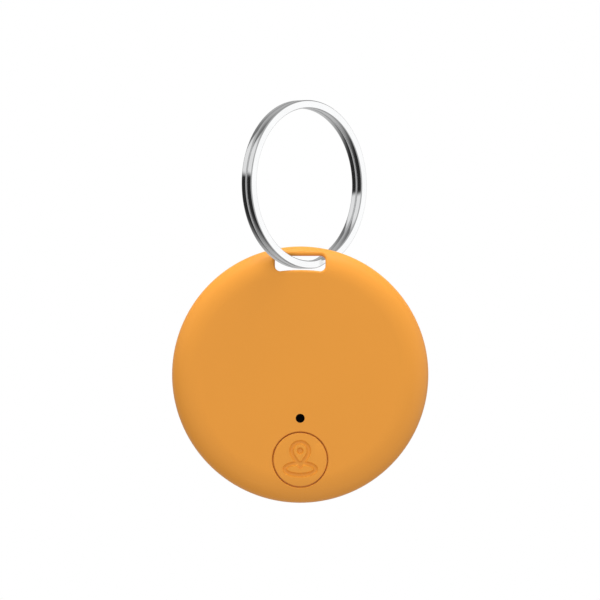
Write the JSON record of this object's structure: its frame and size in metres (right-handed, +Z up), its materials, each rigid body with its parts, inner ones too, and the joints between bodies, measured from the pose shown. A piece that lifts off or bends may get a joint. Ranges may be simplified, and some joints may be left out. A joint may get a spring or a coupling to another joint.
{
  "type": "bluetooth tracker tag",
  "caption": "Round key-finder tag with a push button, a sound hole and a pry-off battery cover, hung on a two-turn split ring.",
  "frame": {"origin": "inside top of the split ring, in the middle of the wire's width, where a hook or a key carries it", "axes": "+Z up as it hangs; the case's front face, with the button, faces -Y; +X to the right as seen from the front"},
  "size_m": [0.038, 0.0194, 0.0597],
  "materials": {
    "chrome_wire": "bright nickel plate",
    "case_orange": "fine satin moulding",
    "cover_orange": "fine satin moulding",
    "button_orange": "fine satin moulding, engraved",
    "board_green": "solder resist",
    "chip_black": "moulded package",
    "crystal_can": "plated lid",
    "antenna_ceramic": "glazed ceramic",
    "capacitor_tan": "fired ceramic",
    "resistor_dark": "coated ceramic",
    "inductor_grey": "ferrite",
    "holder_black": "moulded",
    "contact_nickel": "nickel plated spring",
    "cell_steel": "brushed stainless",
    "gasket_nylon": "nylon",
    "cell_mix": "pressed powder and lithium",
    "seal_rubber": "moulded",
    "pad_foam": "foam",
    "tape_white": "double-sided tape",
    "brass_plate": "rolled",
    "piezo_ceramic": "silvered ceramic",
    "mesh_black": "woven mesh",
    "switch_black": "moulded",
    "shield_steel": "stamped",
    "dome_steel": "snap disc",
    "plunger_black": "moulded"
  },
  "bodies": {
    "ring": {"split_ring": "chrome_wire"},
    "tag": {"front_shell": "case_orange", "rear_shell": "case_orange", "circuit_board": "board_green", "radio_chip": "chip_black", "crystal": "crystal_can", "chip_antenna": "antenna_ceramic", "inductor": "inductor_grey", "capacitors": "capacitor_tan", "resistors": "resistor_dark", "battery_holder": "holder_black", "positive_contact": "contact_nickel", "negative_contact": "contact_nickel", "sounder_tape": "tape_white", "sounder_plate": "brass_plate", "sounder_ceramic": "piezo_ceramic", "sounder_contacts": "contact_nickel", "sound_mesh": "mesh_black", "switch_base": "switch_black", "switch_shield": "shield_steel", "switch_dome": "dome_steel"},
    "button": {"button_cap": "button_orange"},
    "plunger": {"switch_plunger": "plunger_black"},
    "cover": {"battery_cover": "cover_orange", "cover_seal": "seal_rubber", "cover_pad": "pad_foam"},
    "cell": {"cell_can": "cell_steel", "cell_cap": "cell_steel", "cell_gasket": "gasket_nylon", "cell_fill": "cell_mix"}
  },
  "joints": [
    {"name": "ring_swivel", "type": "hinge", "parent": "ring", "child": "tag", "pos_m": [-0.00069, -0.00073, -0.0231], "axis": [0, 0, -1], "range_deg": [0, 87]},
    {"name": "button_press", "type": "slide", "parent": "tag", "child": "button", "axis": [0, 1, 0], "range_m": [0, 0.0002], "stiffness_N_per_m": 6000},
    {"name": "switch_press", "type": "slide", "parent": "tag", "child": "plunger", "axis": [0, 1, 0], "range_m": [0, 0.0002], "deforming": ["switch_dome"]},
    {"name": "cover_lift", "type": "slide", "parent": "tag", "child": "cover", "axis": [0, 1, 0], "range_m": [0, 0.014]},
    {"name": "cell_out", "type": "slide", "parent": "tag", "child": "cell", "axis": [0, 1, 0], "range_m": [0, 0.008]}
  ],
  "couplings": [
    {"joint": "switch_press", "follows": "button_press", "ratio": 1},
    {"joint": "cell_out", "follows": "cover_lift", "ratio": 0.571}
  ]
}
